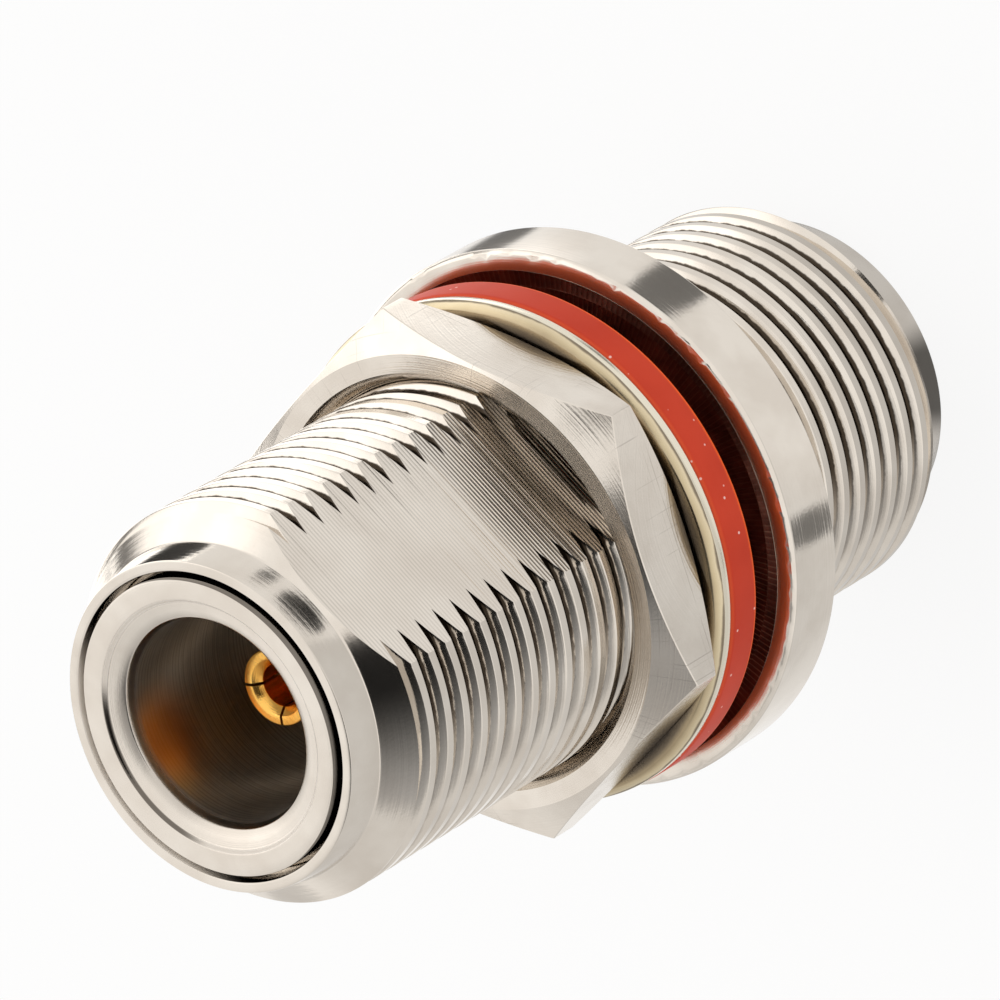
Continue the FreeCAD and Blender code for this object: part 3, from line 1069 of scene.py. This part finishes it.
# Sheets of dark flags, in millimetres: height, then each flag's middle, solid radius and faded radius
FLAG_SHEETS = [
    (50.0, [((-17.5, -4.5), 10.5, 17.5), ((-10.0, -11.0), 6.5, 9.0)]),
    (34.0, [((2.8, -18.5), 3.8, 4.8)]),
]
SHEET_HALF = 45 * MM
FLOOR_HALF = 1.5
FLOOR_DROP = 0.02 * MM
SKY_LEVEL = 1.06
FLOOR_LEVEL = 0.97
EAST_GLOW = 0.75
WEST_SHADE = 0.24
HORIZON_SHADE = 0.8


def sheet(name, half_width, height):
    """A flat square for the studio with an empty material, and that material's tree."""
    bm = bmesh.new()
    bmesh.ops.create_grid(bm, x_segments=1, y_segments=1, size=half_width)
    obj = add_object(name, to_mesh(name, bm))
    obj.location.z = height
    mat = bpy.data.materials.new(name)
    mat.use_nodes = True
    mat.node_tree.nodes.clear()
    obj.data.materials.append(mat)
    return obj, mat.node_tree


def spot(tree, place, middle, solid, faded):
    """A soft round spot, in millimetres: 1 in its middle and 0 outside it."""
    away = vector_math(tree, "DISTANCE", place, (middle[0] * MM, middle[1] * MM, 0))
    return fade(tree, away, faded * MM, solid * MM)


def finish_tree(tree, kind, shader):
    """Leads a shader to the output of a material or world."""
    tree.links.new(shader, tree.nodes.new(kind).inputs[0])


def glossy_only(obj):
    """Lets only reflections see the object, so that it is a studio aid like a lamp."""
    obj.visible_camera = False
    obj.visible_diffuse = False
    obj.visible_shadow = False
    obj.visible_volume_scatter = False


def make_flags(height, flags):
    """A sheet with dark round flags, which give the thread its dark flanks and the flat its dark end."""
    obj, tree = sheet(f"flags_{height:.0f}", SHEET_HALF, height * MM)
    place = tree.nodes.new("ShaderNodeTexCoord").outputs["Object"]
    cover = 0.0
    for middle, solid, faded in flags:
        cover = math_node(tree, "MAXIMUM", cover, spot(tree, place, middle, solid, faded))
    side = vector_math(tree, "DOT_PRODUCT", place, (-0.8, 0.6, 0))
    level = math_node(tree, "MULTIPLY_ADD", fade(tree, side, 2 * MM, 25 * MM), 0.45, 0.012)
    clear = tree.nodes.new("ShaderNodeBsdfTransparent")
    dark = tree.nodes.new("ShaderNodeEmission")
    tree.links.new(level, dark.inputs["Strength"])
    finish_tree(tree, "ShaderNodeOutputMaterial", blend(tree, cover, clear.outputs[0], dark.outputs[0]))
    glossy_only(obj)


def floor_level(tree, place):
    """Brightness of the floor as metal mirrors it: a glow to the east, a shade to the west, the cards."""
    eastward = vector_math(tree, "DOT_PRODUCT", place, (1, 0, 0))
    northward = vector_math(tree, "DOT_PRODUCT", place, (0, 1, 0))
    glow = product(tree, fade(tree, eastward, 19 * MM, 25 * MM),
                   fade(tree, northward, -14.2 * MM, -12.4 * MM))
    level = math_node(tree, "MULTIPLY_ADD", glow, EAST_GLOW, FLOOR_LEVEL)
    level = darken(tree, level, fade(tree, eastward, -13 * MM, -25 * MM), WEST_SHADE)
    for middle, solid, faded, amount in CARDS:
        level = darken(tree, level, spot(tree, place, middle, solid, faded), amount)
    return level


def make_floor():
    """Pale floor, nearly white to the camera but for a faint shadow, with cards that only metal mirrors."""
    obj, tree = sheet("floor", FLOOR_HALF, -FLOOR_DROP)
    path = tree.nodes.new("ShaderNodeLightPath")
    place = tree.nodes.new("ShaderNodeTexCoord").outputs["Object"]
    plain = node(tree, "ShaderNodeBsdfDiffuse", Color=(0.9, 0.9, 0.9, 1))
    white = node(tree, "ShaderNodeEmission", Color=(1, 1, 1, 1), Strength=1.0)
    mirrored = node(tree, "ShaderNodeEmission", Color=(1, 0.99, 0.975, 1))
    tree.links.new(floor_level(tree, place), mirrored.inputs["Strength"])
    to_camera = product(tree, path.outputs["Is Camera Ray"], 0.85)
    in_metal = math_node(tree, "MAXIMUM", path.outputs["Is Glossy Ray"], path.outputs["Is Transmission Ray"])
    seen = blend(tree, to_camera, plain.outputs[0], white.outputs[0])
    finish_tree(tree, "ShaderNodeOutputMaterial", blend(tree, in_metal, seen, mirrored.outputs[0]))


def make_world():
    """Soft white studio all round with dark and bright patches, and white behind the object."""
    world = bpy.data.worlds.new("studio")
    bpy.context.scene.world = world
    world.use_nodes = True
    tree = world.node_tree
    tree.nodes.clear()
    toward = tree.nodes.new("ShaderNodeTexCoord").outputs["Generated"]
    level = SKY_LEVEL
    for azimuth, height, solid, faded, amount in PATCHES:
        a, h = math.radians(azimuth), math.radians(height)
        middle = (math.cos(h) * math.cos(a), math.cos(h) * math.sin(a), math.sin(h))
        nearness = vector_math(tree, "DOT_PRODUCT", toward, middle)
        cover = fade(tree, nearness, math.cos(math.radians(faded)), math.cos(math.radians(solid)))
        level = darken(tree, level, cover, amount)
    low = fade(tree, vector_math(tree, "DOT_PRODUCT", toward, (0, 0, 1)), 0.17, 0.05)
    behind = fade(tree, vector_math(tree, "DOT_PRODUCT", toward, (0.8, 0.6, 0)), 0.75, 0.92)
    level = darken(tree, level, product(tree, low, behind), HORIZON_SHADE)
    sky = node(tree, "ShaderNodeBackground", Color=(1.0, 0.985, 0.965, 1))
    tree.links.new(level, sky.inputs["Strength"])
    white = node(tree, "ShaderNodeBackground", Color=(1, 1, 1, 1), Strength=1.0)
    to_camera = tree.nodes.new("ShaderNodeLightPath").outputs["Is Camera Ray"]
    finish_tree(tree, "ShaderNodeOutputWorld", blend(tree, to_camera, sky.outputs[0], white.outputs[0]))


make_floor()
for sheet_height, sheet_flags in FLAG_SHEETS:
    make_flags(sheet_height, sheet_flags)
make_world()
bpy.context.scene.view_settings.view_transform = "Standard"
